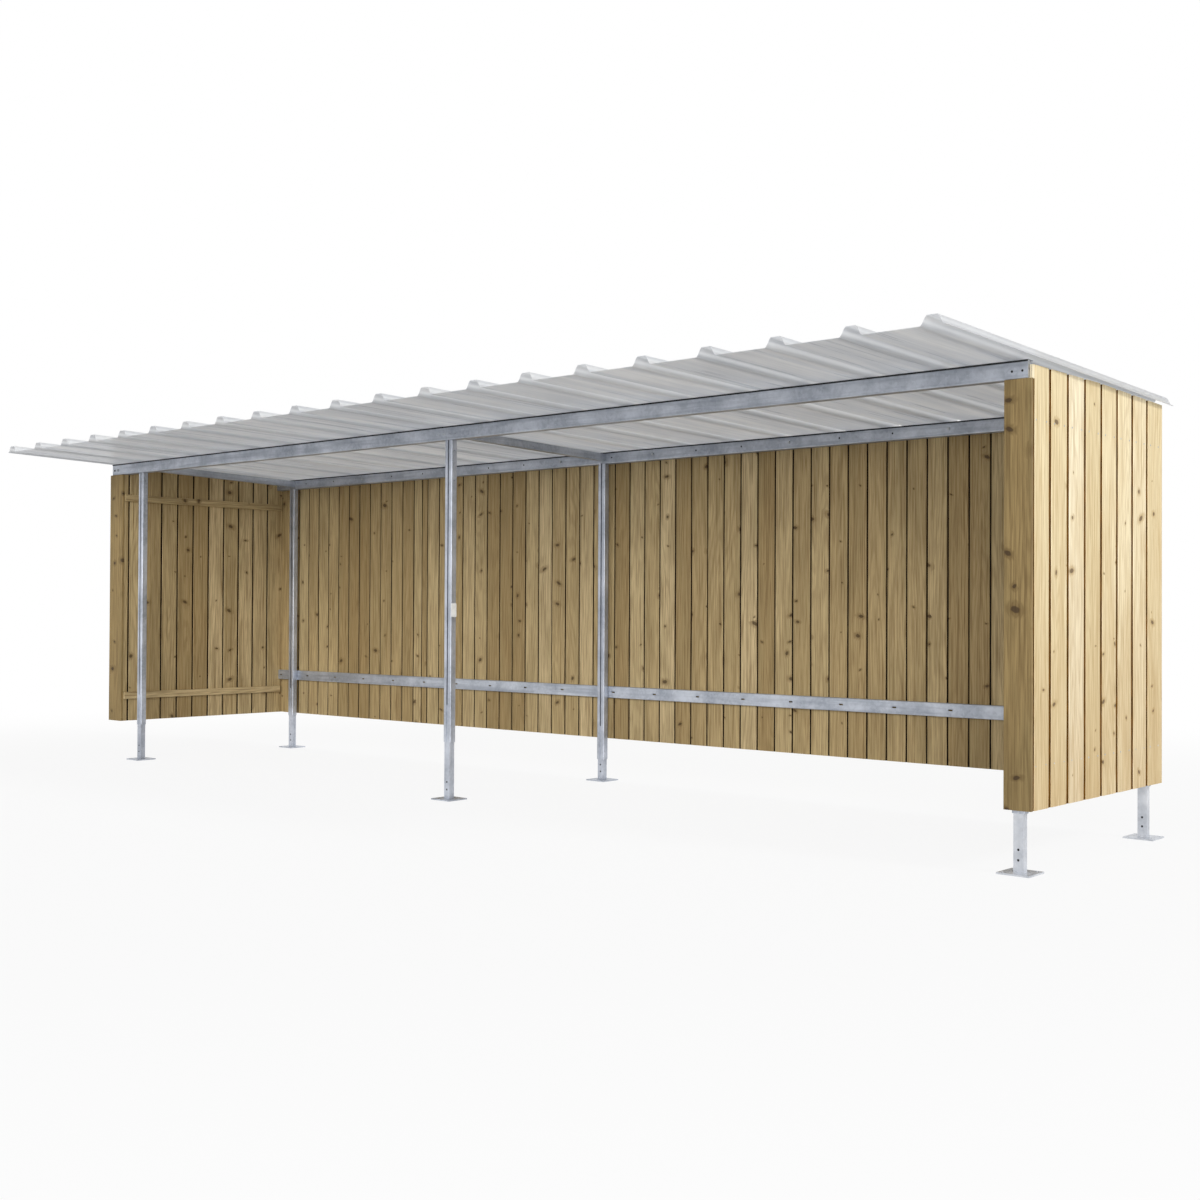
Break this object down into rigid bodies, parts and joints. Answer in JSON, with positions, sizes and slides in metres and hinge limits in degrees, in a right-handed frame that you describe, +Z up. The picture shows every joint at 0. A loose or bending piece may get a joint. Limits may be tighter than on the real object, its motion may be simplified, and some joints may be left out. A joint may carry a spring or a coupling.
{
  "type": "open-front cycle shelter",
  "caption": "Open-front mono-pitch cycle shelter: galvanised steel posts, beams and rails, timber-boarded back and side walls, ribbed translucent roof.",
  "frame": {"origin": "on the ground, under the centre of the roof's box", "axes": "+X along the shelter's length, to the right when seen from the open front; +Y to the boarded back; +Z up"},
  "size_m": [7.44, 2.35, 2.2756],
  "materials": {
    "galvanised_steel": "hot-dip galvanised, mottled, satin",
    "timber_boards": "pressure-treated pine, planed, knots and grain, dark joints",
    "opal_roof_sheet": "grey translucent ribbed sheet, glossy underside"
  },
  "bodies": {
    "root": {"post_front_left": "galvanised_steel", "post_front_mid": "galvanised_steel", "post_front_right": "galvanised_steel", "post_rear_left": "galvanised_steel", "post_rear_mid": "galvanised_steel", "post_rear_right": "galvanised_steel", "foot_front_left": "galvanised_steel", "foot_front_mid": "galvanised_steel", "foot_front_right": "galvanised_steel", "foot_rear_left": "galvanised_steel", "foot_rear_mid": "galvanised_steel", "foot_rear_right": "galvanised_steel", "front_beam_left": "galvanised_steel", "front_beam_right": "galvanised_steel", "rear_top_rail_left": "galvanised_steel", "rear_top_rail_right": "galvanised_steel", "mid_rail_left": "galvanised_steel", "mid_rail_right": "galvanised_steel", "rafter_left": "galvanised_steel", "rafter_mid": "galvanised_steel", "rafter_right": "galvanised_steel", "back_wall_left": "timber_boards", "back_wall_right": "timber_boards", "right_wall": "timber_boards", "left_wall_outer": "timber_boards", "left_wall_inner": "timber_boards", "right_front_trim": "timber_boards", "left_front_trim": "timber_boards", "left_front_stud": "timber_boards", "left_rear_stud": "timber_boards", "left_head_rail": "timber_boards", "left_sill_rail": "timber_boards", "left_upper_cover_rail": "timber_boards", "left_lower_cover_rail": "timber_boards", "right_upper_timber_rail": "timber_boards", "right_lower_timber_rail": "timber_boards", "roof_sheet_1": "opal_roof_sheet", "roof_sheet_2": "opal_roof_sheet", "roof_sheet_3": "opal_roof_sheet", "roof_sheet_4": "opal_roof_sheet", "roof_sheet_5": "opal_roof_sheet", "roof_sheet_6": "opal_roof_sheet", "roof_sheet_7": "opal_roof_sheet"}
  },
  "joints": []
}
